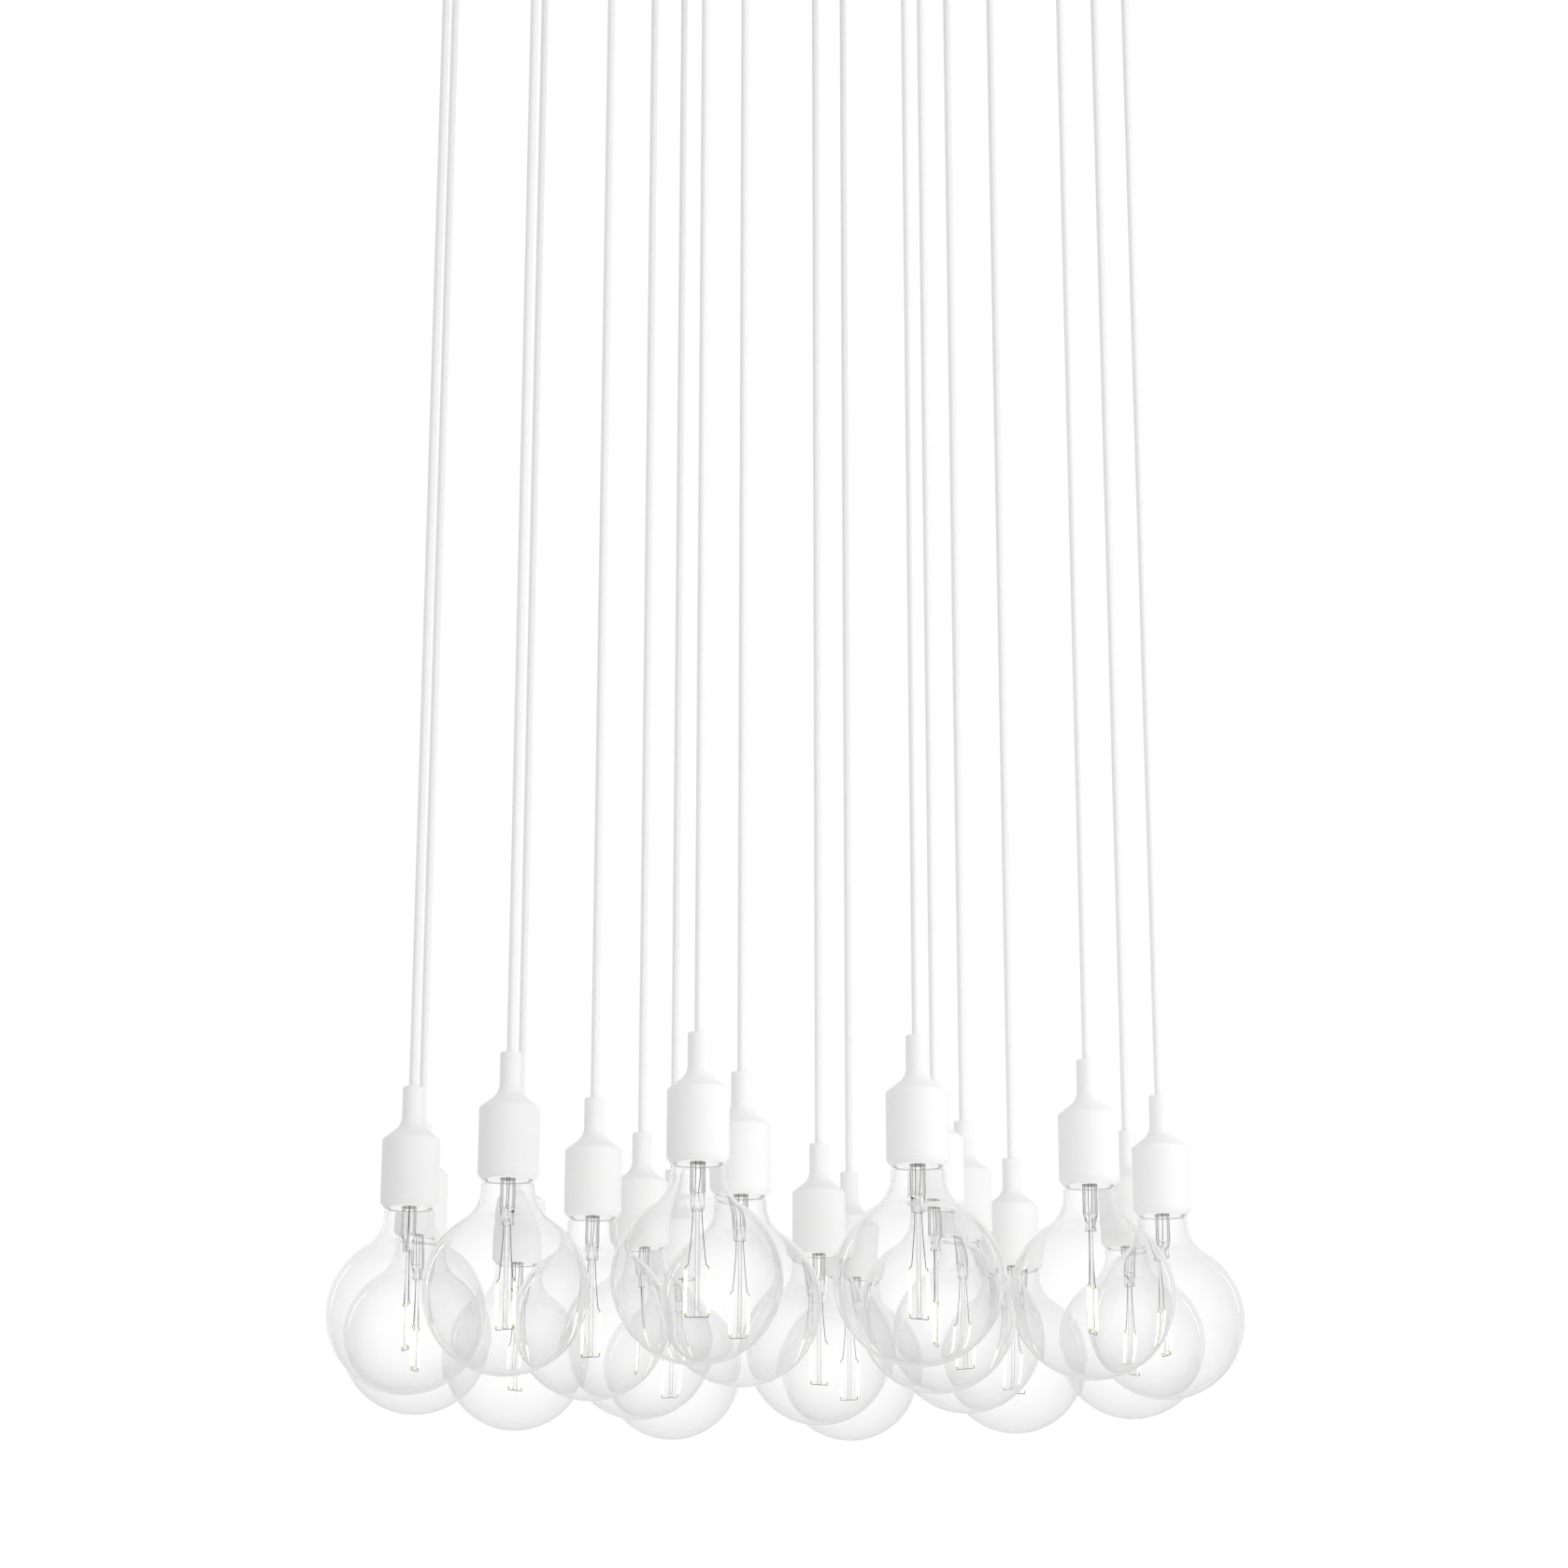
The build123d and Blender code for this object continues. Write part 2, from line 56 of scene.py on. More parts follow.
# %% Where each pendant hangs
MM = 0.001
PENDANTS = 18
lamps = []
for number in range(1, PENDANTS + 1):
    tag = f"{number:02d}"
    low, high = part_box(f"lampholder_{tag}")
    cord_low, cord_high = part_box(f"cord_{tag}")
    lamps.append({
        "tag": tag,
        "x": (low[0] + high[0]) / 2,
        "y": (low[1] + high[1]) / 2,
        "neck": high[2],
        "cord_top": cord_high[2],
        "cord_end": cord_low[2],
    })
neck_level = lamps[0]["neck"]
print("neck level", round(neck_level, 4), "cord top", round(lamps[0]["cord_top"], 4))

# %% [markdown]
# The camera stands below the lamps and looks up at them a little, as the photograph's
# does. Its height, distance and lens were worked out from where all eighteen lamps
# stand in the picture. The picture's cords are exactly parallel, which a level camera
# with a very large shift would give. That shift would push the lamps out of every
# other view, so the camera is tilted instead, and the cords close in a little upwards.

# %% Camera
CAMERA_DISTANCE = 2.626
CAMERA_BELOW_NECK = 0.4987
CAMERA_SIDE = 0.0015
CAMERA_TILT = 15.16
LENS_IN_PIXELS = 3443.0
PICTURE_IN_PIXELS = 1678.0
SENSOR = 36.0
VIEW_SHIFT = 0.05
VIEW_REACH = 50.0


def add_object(name, data):
    """Makes an object of a mesh, a curve, a light or a camera and puts it in the scene."""
    made = bpy.data.objects.new(name, data)
    bpy.context.collection.objects.link(made)
    return made


camera_data = bpy.data.cameras.new("camera")
camera_data.sensor_width = SENSOR
camera_data.lens = LENS_IN_PIXELS / PICTURE_IN_PIXELS * SENSOR
camera_data.shift_y = VIEW_SHIFT
camera_data.clip_end = VIEW_REACH
camera = add_object("camera", camera_data)
camera.location = (CAMERA_SIDE, -CAMERA_DISTANCE, neck_level - CAMERA_BELOW_NECK)
camera.rotation_euler = (math.radians(90 + CAMERA_TILT), 0, 0)
bpy.context.scene.camera = camera
print("lens", round(camera_data.lens, 1), "mm")

# %% [markdown]
# ## Helpers for finishes
# Every finish is a Principled shader whose colour, roughness and height come from
# noise, so that no surface is one flat value. The same uneven finish is wanted on
# plastic, lacquer and metal, so it is a node group with named inputs and outputs.

# %% Node group: uneven finish
def add_math(nodes, operation):
    node = nodes.new("ShaderNodeMath")
    node.operation = operation
    return node


def make_uneven_group():
    group = bpy.data.node_groups.new("uneven_finish", "ShaderNodeTree")
    face = group.interface
    for name, kind, value in (
        ("Color", "NodeSocketColor", (0.8, 0.8, 0.8, 1)),
        ("Shade", "NodeSocketFloat", 0.03),
        ("Cloud Scale", "NodeSocketFloat", 40.0),
        ("Grain Scale", "NodeSocketFloat", 900.0),
        ("Roughness", "NodeSocketFloat", 0.5),
        ("Roughness Spread", "NodeSocketFloat", 0.1),
    ):
        socket = face.new_socket(name, in_out="INPUT", socket_type=kind)
        socket.default_value = value
    face.new_socket("Color", in_out="OUTPUT", socket_type="NodeSocketColor")
    face.new_socket("Roughness", in_out="OUTPUT", socket_type="NodeSocketFloat")
    face.new_socket("Height", in_out="OUTPUT", socket_type="NodeSocketFloat")
    nodes, links = group.nodes, group.links
    inside = nodes.new("NodeGroupInput")
    out = nodes.new("NodeGroupOutput")
    place = nodes.new("ShaderNodeTexCoord")
    cloud = nodes.new("ShaderNodeTexNoise")
    cloud.inputs["Detail"].default_value = 3.0
    grain = nodes.new("ShaderNodeTexNoise")
    grain.inputs["Detail"].default_value = 2.0
    links.new(place.outputs["Object"], cloud.inputs["Vector"])
    links.new(place.outputs["Object"], grain.inputs["Vector"])
    links.new(inside.outputs["Cloud Scale"], cloud.inputs["Scale"])
    links.new(inside.outputs["Grain Scale"], grain.inputs["Scale"])
    # colour: darker by up to Shade where the cloud is low
    dark = add_math(nodes, "MULTIPLY")
    links.new(cloud.outputs["Fac"], dark.inputs[0])
    links.new(inside.outputs["Shade"], dark.inputs[1])
    keep = add_math(nodes, "SUBTRACT")
    keep.inputs[0].default_value = 1.0
    links.new(dark.outputs[0], keep.inputs[1])
    tone = nodes.new("ShaderNodeVectorMath")
    tone.operation = "SCALE"
    links.new(inside.outputs["Color"], tone.inputs[0])
    links.new(keep.outputs[0], tone.inputs["Scale"])
    links.new(tone.outputs[0], out.inputs["Color"])
    # roughness: its own value, spread by the finer noise
    centre = add_math(nodes, "SUBTRACT")
    centre.inputs[1].default_value = 0.5
    links.new(grain.outputs["Fac"], centre.inputs[0])
    spread = add_math(nodes, "MULTIPLY_ADD")
    links.new(centre.outputs[0], spread.inputs[0])
    links.new(inside.outputs["Roughness Spread"], spread.inputs[1])
    links.new(inside.outputs["Roughness"], spread.inputs[2])
    links.new(spread.outputs[0], out.inputs["Roughness"])
    links.new(grain.outputs["Fac"], out.inputs["Height"])
    return group


uneven = make_uneven_group()
print("group sockets:", [item.name for item in uneven.interface.items_tree])

# %% [markdown]
# With the group, a finish is one call: a colour, how rough it is, how large its clouds
# and its grain are, and how deep the grain is. What has one value all over, such as
# Metallic, is set on the shader's own socket.

# %% Finish maker
def new_material(name):
    """A material with its nodes, its links and its Principled shader."""
    material = bpy.data.materials.new(name)
    material.use_nodes = True
    nodes, links = material.node_tree.nodes, material.node_tree.links
    return material, nodes, links, nodes["Principled BSDF"]


def finish_with(name, color, roughness, shade=0.03, cloud=40.0, grain=900.0,
                spread=0.1, bump=0.05, depth=0.00005, **sockets):
    """One finish: the uneven group feeds a Principled shader's colour, roughness, normal."""
    material, nodes, links, shader = new_material(name)
    group = nodes.new("ShaderNodeGroup")
    group.node_tree = uneven
    group.inputs["Color"].default_value = (*color, 1)
    group.inputs["Shade"].default_value = shade
    group.inputs["Cloud Scale"].default_value = cloud
    group.inputs["Grain Scale"].default_value = grain
    group.inputs["Roughness"].default_value = roughness
    group.inputs["Roughness Spread"].default_value = spread
    links.new(group.outputs["Color"], shader.inputs["Base Color"])
    links.new(group.outputs["Roughness"], shader.inputs["Roughness"])
    raised = nodes.new("ShaderNodeBump")
    raised.inputs["Strength"].default_value = bump
    raised.inputs["Distance"].default_value = depth
    links.new(group.outputs["Height"], raised.inputs["Height"])
    links.new(raised.outputs["Normal"], shader.inputs["Normal"])
    for socket, value in sockets.items():
        shader.inputs[socket.replace("_", " ")].default_value = value
    return material


# %% [markdown]
# ## The finishes
# The sleeve is moulded silicone: white, dull, with a very fine skin. The cord's sheath
# is a little smoother. The canopy is powder coated, which shows as fine orange peel.

# %% White finishes
silicone = finish_with("white_silicone", (0.90, 0.90, 0.897), 0.52, shade=0.025,
                       cloud=55, grain=2200, spread=0.12, bump=0.12, depth=0.00004)
sheath = finish_with("white_sheath", (0.90, 0.90, 0.897), 0.42, shade=0.03,
                     cloud=90, grain=1600, spread=0.1, bump=0.06)
powder_coat = finish_with("white_powder_coat", (0.84, 0.84, 0.835), 0.38, shade=0.02,
                          cloud=12, grain=700, spread=0.12, bump=0.2, depth=0.00006)
nylon = finish_with("white_nylon", (0.80, 0.80, 0.785), 0.45, shade=0.04,
                    cloud=120, grain=1800, bump=0.08)
thermoplastic = finish_with("holder_thermoplastic", (0.86, 0.86, 0.85), 0.4,
                            shade=0.05, cloud=150, grain=2000, bump=0.06)
# The neck disc's emission is painted light: a faint glow that brightens the lampholder's mouth,
# though the disc is no lamp.
shield_white = finish_with("neck_shield_white", (0.93, 0.93, 0.925), 0.6, shade=0.03,
                           cloud=120, grain=1500, bump=0.05, Emission_Strength=0.1)
print("white finishes:", [silicone.name, sheath.name, powder_coat.name, nylon.name,
                          thermoplastic.name, shield_white.name])

# %% [markdown]
# The screw shells are nickel plated, the contacts are brass and the bracket is zinc
# plated. A metal has no colour under its mirror, so Metallic is 1, and what makes it look
# real is a roughness that wanders. The wires are thin and dull, and show as dark lines.

# %% Metals
screw_shell = finish_with("screw_shell_nickel", (0.70, 0.69, 0.66), 0.26, shade=0.12,
                          cloud=160, grain=2600, spread=0.2, bump=0.1, Metallic=1.0)
brass = finish_with("contact_brass", (0.72, 0.56, 0.30), 0.3, shade=0.15, cloud=200,
                    grain=2600, spread=0.2, bump=0.1, Metallic=1.0)
wire_metal = finish_with("wire_nickel", (0.10, 0.10, 0.10), 0.35, shade=0.2, cloud=300,
                         grain=3000, spread=0.1, bump=0.05, Metallic=1.0)
zinc = finish_with("zinc_plated_steel", (0.58, 0.59, 0.60), 0.36, shade=0.22, cloud=60,
                   grain=900, spread=0.25, bump=0.1, Metallic=1.0)
print("metals:", [screw_shell.name, brass.name, wire_metal.name, zinc.name])

# %% [markdown]
# Two small pieces inside the cap show only when a bulb is taken out or cut open: the
# black glass round the end contact, and the pale driver board.

# %% Small inner finishes
black_glass = finish_with("insulator_glass", (0.03, 0.03, 0.035), 0.15, shade=0.2,
                          cloud=250, grain=2000, bump=0.03)
driver_board = finish_with("driver_board", (0.55, 0.56, 0.52), 0.5, shade=0.25,
                           cloud=400, grain=2500, bump=0.15)
print("inner finishes:", [black_glass.name, driver_board.name])

# %% [markdown]
# Clear glass is a Principled shader with full transmission. A thin globe looks clear in
# the middle and grey towards its outline. That grey is painted shade: a ramp over the
# facing angle darkens the colour towards the outline, and each globe in front of
# another adds its own. What the glass mirrors is dimmed in the same measure, or a white
# ring would run round every globe. Blown glass is never quite even either, so a broad,
# weak noise tilts its normal.

# %% Glass maker
GLASS_SMEAR = 0.02  # the highest roughness that the noise gives


def make_glass(name, ior, edge_shade, mirror, wave_scale, wave_strength):
    """The shade list holds (facing, grey) stops of painted shade: 0 faces the viewer and 1 is the
    outline.
    """
    material, nodes, links, shader = new_material(name)
    shader.inputs["Transmission Weight"].default_value = 1.0
    shader.inputs["IOR"].default_value = ior
    shader.inputs["Specular Tint"].default_value = (mirror, mirror, mirror, 1)
    # painted shade: the glass colour greys by facing angle towards its outline
    facing = nodes.new("ShaderNodeLayerWeight")
    facing.inputs["Blend"].default_value = 0.5
    ramp = nodes.new("ShaderNodeValToRGB")
    stops = ramp.color_ramp.elements
    while len(stops) < len(edge_shade):
        stops.new(0.5)
    for stop, (turned, grey) in zip(stops, edge_shade):
        stop.position = turned
        stop.color = (grey, grey, grey, 1)
    links.new(facing.outputs["Facing"], ramp.inputs["Fac"])
    links.new(ramp.outputs["Color"], shader.inputs["Base Color"])
    place = nodes.new("ShaderNodeTexCoord")
    wave = nodes.new("ShaderNodeTexNoise")
    wave.inputs["Scale"].default_value = wave_scale
    wave.inputs["Detail"].default_value = 1.0
    links.new(place.outputs["Object"], wave.inputs["Vector"])
    smear = nodes.new("ShaderNodeMapRange")
    smear.inputs["To Min"].default_value = 0.0
    smear.inputs["To Max"].default_value = GLASS_SMEAR
    links.new(wave.outputs["Fac"], smear.inputs["Value"])
    links.new(smear.outputs["Result"], shader.inputs["Roughness"])
    tilt = nodes.new("ShaderNodeBump")
    tilt.inputs["Strength"].default_value = wave_strength
    tilt.inputs["Distance"].default_value = MM
    links.new(wave.outputs["Fac"], tilt.inputs["Height"])
    links.new(tilt.outputs["Normal"], shader.inputs["Normal"])
    let_lamps_through(nodes, links, shader)
    return material


def let_lamps_through(nodes, links, shader):
    """Light from the lamps passes the glass, so that it reaches what stands behind."""
    ray = nodes.new("ShaderNodeLightPath")
    clear = nodes.new("ShaderNodeBsdfTransparent")
    clear.inputs["Color"].default_value = (0.98, 0.98, 0.98, 1)
    either = nodes.new("ShaderNodeMixShader")
    links.new(ray.outputs["Is Shadow Ray"], either.inputs[0])
    links.new(shader.outputs[0], either.inputs[1])
    links.new(clear.outputs[0], either.inputs[2])
    links.new(either.outputs[0], nodes["Material Output"].inputs["Surface"])


# %% [markdown]
# The globe's wall, the stem and the rod are three glasses. The stem and the rod are thick
# for their size, so their outlines get much darker painted shade than the globe's. In the
# picture the globes and stems hardly bend what stands behind them, so both have a lower
# refractive index than the 1.5 of plain glass.

# %% Three kinds of glass
# painted shade stops for each glass, greyer towards the outline
GLOBE_EDGE_SHADE = [(0.06, 1.0), (0.20, 0.975), (0.34, 0.94), (0.50, 0.905), (0.70, 0.875),
              (0.86, 0.86), (1.0, 0.86)]
STEM_EDGE_SHADE = [(0.0, 1.0), (0.2, 0.97), (0.32, 0.75), (0.5, 0.5), (1.0, 0.3)]
ROD_EDGE_SHADE = [(0.0, 1.0), (0.18, 0.95), (0.32, 0.5), (0.5, 0.35), (1.0, 0.2)]
globe_glass = make_glass("clear_globe_glass", 1.3, GLOBE_EDGE_SHADE, 0.72, 9.0, 0.012)
stem_glass = make_glass("clear_stem_glass", 1.2, STEM_EDGE_SHADE, 0.6, 60.0, 0.02)
rod_glass = make_glass("clear_rod_glass", 1.5, ROD_EDGE_SHADE, 0.6, 60.0, 0.02)
print("glass:", [globe_glass.name, stem_glass.name, rod_glass.name])

# %% [markdown]
# A filament is a row of tiny light chips under a pale yellow phosphor skin. Lit, it is
# the brightest thing in the picture, white along its length and yellow at its ends.

# %% Filament phosphor
def make_phosphor():
    material, nodes, links, shader = new_material("filament_phosphor")
    shader.inputs["Roughness"].default_value = 0.55
    shader.inputs["Emission Strength"].default_value = 1.1
    place = nodes.new("ShaderNodeTexCoord")
    chips = nodes.new("ShaderNodeTexNoise")
    chips.inputs["Scale"].default_value = 700.0
    links.new(place.outputs["Object"], chips.inputs["Vector"])
    skin = nodes.new("ShaderNodeValToRGB")
    skin.color_ramp.elements[0].color = (0.86, 0.80, 0.58, 1)
    skin.color_ramp.elements[1].color = (0.93, 0.90, 0.76, 1)
    links.new(chips.outputs["Fac"], skin.inputs["Fac"])
    links.new(skin.outputs["Color"], shader.inputs["Base Color"])
    glow = nodes.new("ShaderNodeValToRGB")
    glow.color_ramp.elements[0].color = (1.0, 0.96, 0.84, 1)
    glow.color_ramp.elements[1].color = (1.0, 0.99, 0.95, 1)
    links.new(chips.outputs["Fac"], glow.inputs["Fac"])
    links.new(glow.outputs["Color"], shader.inputs["Emission Color"])
    return material


phosphor = make_phosphor()
phosphor_end = finish_with("filament_end", (0.78, 0.72, 0.36), 0.45, shade=0.15,
                           cloud=500, grain=2500)
print("filament finishes:", [phosphor.name, phosphor_end.name])

# %% [markdown]
# ## Turning shapes on a lathe
# Nearly every piece of a pendant is round. Its half outline is drawn in the X-Z plane
# by moving one vertex: straight on, which extrudes it, or round a centre, which spins
# it. The finished outline is then spun once round the Z axis. Depths are measured down
# from the top of the neck, so every outline reads like a drawing of the lamp.

# %% Outline and lathe helpers
class Outline:
    """A half outline made of edges; r is the distance from the axis, d the depth."""

    def __init__(self, r, d):
        self.mesh = bmesh.new()
        self.tip = self.mesh.verts.new((r * MM, 0, -d * MM))

    def to(self, *points):
        for r, d in points:
            made = bmesh.ops.extrude_vert_indiv(self.mesh, verts=[self.tip])
            self.tip = made["verts"][0]
            self.tip.co = (r * MM, 0, -d * MM)
        return self

    def round(self, centre, degrees, steps):
        """Carries the tip round a centre (r, d); positive turns from down to outwards."""
        made = bmesh.ops.spin(
            self.mesh, geom=[self.tip], cent=(centre[0] * MM, 0, -centre[1] * MM),
            axis=(0, -1, 0), angle=math.radians(degrees), steps=steps,
            use_merge=False, use_duplicate=False,
        )
        self.tip = [v for v in made["geom_last"] if isinstance(v, bmesh.types.BMVert)][0]
        return self

    def close(self):
        self.mesh.verts.ensure_lookup_table()
        self.mesh.edges.new((self.tip, self.mesh.verts[0]))
        return self

    def lathe(self, steps):
        """Spins the outline round the axis and returns the closed bmesh."""
        bmesh.ops.spin(
            self.mesh, geom=self.mesh.verts[:] + self.mesh.edges[:], cent=(0, 0, 0),
            axis=(0, 0, 1), angle=2 * math.pi, steps=steps, use_merge=True,
            use_duplicate=False,
        )
        bmesh.ops.remove_doubles(self.mesh, verts=self.mesh.verts[:], dist=1e-7)
        bmesh.ops.recalc_face_normals(self.mesh, faces=self.mesh.faces[:])
        return self.mesh


# %% [markdown]
# Each piece is modelled once, as a pattern in the middle of the scene. Its faces are
# smooth, with sharp edges where it turns by more than a given angle. A copy of the
# pattern is then moved to each pendant and rides on the body that carries it.

# %% From pattern to pendant
def to_mesh(name, shape, crease=30.0):
    mesh = bpy.data.meshes.new(name)
    shape.to_mesh(mesh)
    shape.free()
    mesh.shade_smooth()
    mesh.set_sharp_from_angle(angle=math.radians(crease))
    return mesh


def hang(name, pattern, lamp, body, material, turn=0.0):
    """Places a copy of a pattern mesh on one pendant; the place goes into the mesh."""
    mesh = pattern.copy()
    mesh.name = name
    place = Matrix.Translation((lamp["x"], lamp["y"], lamp["neck"]))
    mesh.transform(place @ Matrix.Rotation(math.radians(turn), 4, "Z"))
    mesh.materials.clear()
    mesh.materials.append(material)
    piece = add_object(name, mesh)
    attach(piece, body)
    return piece


# %% [markdown]
# ## The sleeve
# One soft moulding: a slim neck that grips the cord, a concave flare, a straight body
# with a rounded shoulder, a chamfered foot and a lip turned in under the lampholder.
# All of it is round, so one outline on the lathe gives the whole piece.

# %% Sleeve pattern
NECK_R, BODY_R = 8.0, 23.0
NECK_LENGTH, FLARE_R, FLARE_TURN = 24.0, 14.5, 52.0
NECK_ROUND, SHOULDER_R = 0.9, 2.2
CHAMFER_TOP, SLEEVE_FOOT, RIM_R = 93.3, 97.7, 19.4
LIP_R, LIP_TOP = 18.3, 95.2
HOLLOW_R, HOLLOW_TOP, HOLLOW_SIDE = 20.5, 47.0, 51.0
BORE_R, CORD_HOLE_R, CORD_STOP = 5.0, 3.3, 14.0
flare_r = NECK_R + FLARE_R * (1 - math.cos(math.radians(FLARE_TURN)))
flare_d = NECK_LENGTH + FLARE_R * math.sin(math.radians(FLARE_TURN))
slope = math.radians(90 - FLARE_TURN)
shoulder_d = flare_d + (BODY_R - flare_r) * math.tan(slope)
# The shoulder's round touches the slope and the body's side.
round_back = SHOULDER_R * math.tan((math.pi / 2 - slope) / 2)
round_centre = (BODY_R - SHOULDER_R, shoulder_d + round_back)

sleeve_outline = Outline(CORD_HOLE_R, 0.5).to((3.6, 0.1), (NECK_R - NECK_ROUND, 0))
sleeve_outline.round((NECK_R - NECK_ROUND, NECK_ROUND), -90, 5)
sleeve_outline.to((NECK_R, 12.0), (NECK_R, NECK_LENGTH))
sleeve_outline.round((NECK_R + FLARE_R, NECK_LENGTH), FLARE_TURN, 14)
sleeve_outline.to((
    BODY_R - round_back * math.cos(slope), shoulder_d - round_back * math.sin(slope)))
sleeve_outline.round(round_centre, -FLARE_TURN, 6)
sleeve_outline.to((BODY_R, 60.0), (BODY_R, CHAMFER_TOP - 0.5), (BODY_R - 0.15, CHAMFER_TOP))
sleeve_outline.to((RIM_R + 0.3, SLEEVE_FOOT - 0.4), (RIM_R - 0.1, SLEEVE_FOOT))
sleeve_outline.to((LIP_R + 0.2, SLEEVE_FOOT), (LIP_R, SLEEVE_FOOT - 0.2), (LIP_R, LIP_TOP))
sleeve_outline.to((HOLLOW_R, LIP_TOP), (HOLLOW_R, HOLLOW_SIDE), (16.5, HOLLOW_TOP))
sleeve_outline.to((BORE_R, HOLLOW_TOP), (BORE_R, CORD_STOP), (CORD_HOLE_R, CORD_STOP))
sleeve_pattern = to_mesh("sleeve_pattern", sleeve_outline.close().lathe(72), 35)
print("sleeve faces", len(sleeve_pattern.polygons))

# %% [markdown]
# ## Inside the sleeve
# The lampholder body is seen only from below, or when a bulb is taken out. It has a
# threaded metal liner and a springy contact tongue at the top of its bore. A thread is
# made from a plain tube with many rows: every vertex moves in or out by a wave that
# climbs one pitch per turn, so the wave meets itself and there is no seam.

# %% Thread helpers
THREAD_PITCH = 3.62
THREAD_EASE = 2.0  # mm over which a thread fades in and out


def threaded(outline, radius, top, bottom, depth, steps):
    """Lathes an outline, then rolls a thread into its rows between two depths."""
    shape = outline.lathe(steps)
    for vert in shape.verts:
        r = math.hypot(vert.co.x, vert.co.y) / MM
        d = -vert.co.z / MM
        if abs(r - radius) > 1.0 or not top < d < bottom:
            continue  # another wall, or past the thread's ends
        angle = math.atan2(vert.co.y, vert.co.x)
        fade = min(1.0, (d - top) / THREAD_EASE, (bottom - d) / THREAD_EASE)
        wave = math.cos(2 * math.pi * d / THREAD_PITCH + angle)
        move = (r + depth * fade * (wave - 1)) / r
        vert.co.x *= move
        vert.co.y *= move
    return shape


def rows(r, top, bottom, count):
    """Points straight down a tube wall, evenly spaced."""
    return [(r, top + (bottom - top) * i / count) for i in range(count + 1)]


# %% Lampholder patterns
HOLDER_R, HOLDER_FOOT, SOCKET_R, SOCKET_TOP = 20.4, 95.1, 14.4, 58.6
LINER_R, LINER_BORE_R, LINER_TOP, LINER_FOOT, LINER_ROWS = 14.35, 13.95, 62.0, 85.0, 44
LINER_THREAD = 0.22

holder_outline = Outline(BORE_R, 14.2).to((BORE_R, HOLLOW_TOP), (16.4, HOLLOW_TOP))
holder_outline.to((HOLDER_R, HOLLOW_SIDE), (HOLDER_R, HOLDER_FOOT), (18.4, HOLDER_FOOT))
holder_outline.to((17.8, 94.6), (SOCKET_R, 86.0), (SOCKET_R, SOCKET_TOP), (0, SOCKET_TOP))
holder_pattern = to_mesh("holder_pattern", holder_outline.lathe(48))

outer_rows = rows(LINER_R, LINER_TOP, LINER_FOOT, LINER_ROWS)
inner_rows = rows(LINER_BORE_R, LINER_TOP, LINER_FOOT, LINER_ROWS)
liner_outline = Outline(*outer_rows[0]).to(*outer_rows[1:], (LINER_BORE_R, LINER_FOOT + 0.2))
liner_outline.to(*reversed(inner_rows)).close()
liner_pattern = to_mesh(
    "liner_pattern", threaded(liner_outline, LINER_BORE_R, 63.0, 84.0, LINER_THREAD, 48), 60)

tongue_outline = Outline(0, 58.0).to((2.6, 58.0), (3.0, 58.3), (3.0, 58.9), (2.2, 59.2), (0, 59.2))
tongue_pattern = to_mesh("tongue_pattern", tongue_outline.lathe(24))
print("holder faces", len(holder_pattern.polygons), "liner faces", len(liner_pattern.polygons))

# %% [markdown]
# ## The screw cap
# A rolled shell with the round thread of every household bulb, a glass insulator and a
# brass end contact. The wave is deeper here, because the real thread stands out.

# %% Cap patterns
CAP_R, CAP_THREAD = 13.1, 0.42

cap_outline = Outline(0, 63.0).to((9.9, 63.0), (12.2, 64.6), (CAP_R, 66.0))
cap_outline.to(*rows(CAP_R, 66.6, 84.6, 54), (CAP_R, 85.4), (13.15, 86.2), (13.15, 87.8))
cap_outline.to((12.9, 88.0), (12.65, 87.8), (12.65, 66.5), (9.5, 63.6), (0, 63.6))
cap_pattern = to_mesh("cap_pattern", threaded(cap_outline, CAP_R, 66.4, 84.8, CAP_THREAD, 64), 60)
insulator_outline = Outline(0, 60.8).to((4.7, 60.8), (6.4, 61.4), (9.8, 62.9), (0, 62.95))
insulator_pattern = to_mesh("insulator_pattern", insulator_outline.lathe(40))
contact_outline = Outline(0, 59.25).to((3.4, 59.3), (4.4, 59.8), (4.7, 60.75), (0, 60.75))
contact_pattern = to_mesh("contact_pattern", contact_outline.lathe(32))
print("cap faces", len(cap_pattern.polygons))

# %% [markdown]
# ## The globe
# The envelope is one blown wall: a seat cemented into the cap, a throat through the
# sleeve's lip, a short neck and a concave flare that touches both neck and globe. The
# outer line goes down and the inner line comes back up, a wall's thickness inside it.

# %% Envelope pattern
GLOBE_R, GLOBE_D = 62.5, 181.1
GLASS_NECK_R, GLASS_NECK_D, WALL = 20.0, 104.0, 0.8
drop = GLOBE_D - GLASS_NECK_D
neck_flare = (GLOBE_R**2 - GLASS_NECK_R**2 - drop**2) / (2 * (GLASS_NECK_R - GLOBE_R))
flare_centre = (GLASS_NECK_R + neck_flare, GLASS_NECK_D)
bend = math.degrees(math.atan2(drop, flare_centre[0]))
to_pole = -(90 + bend)

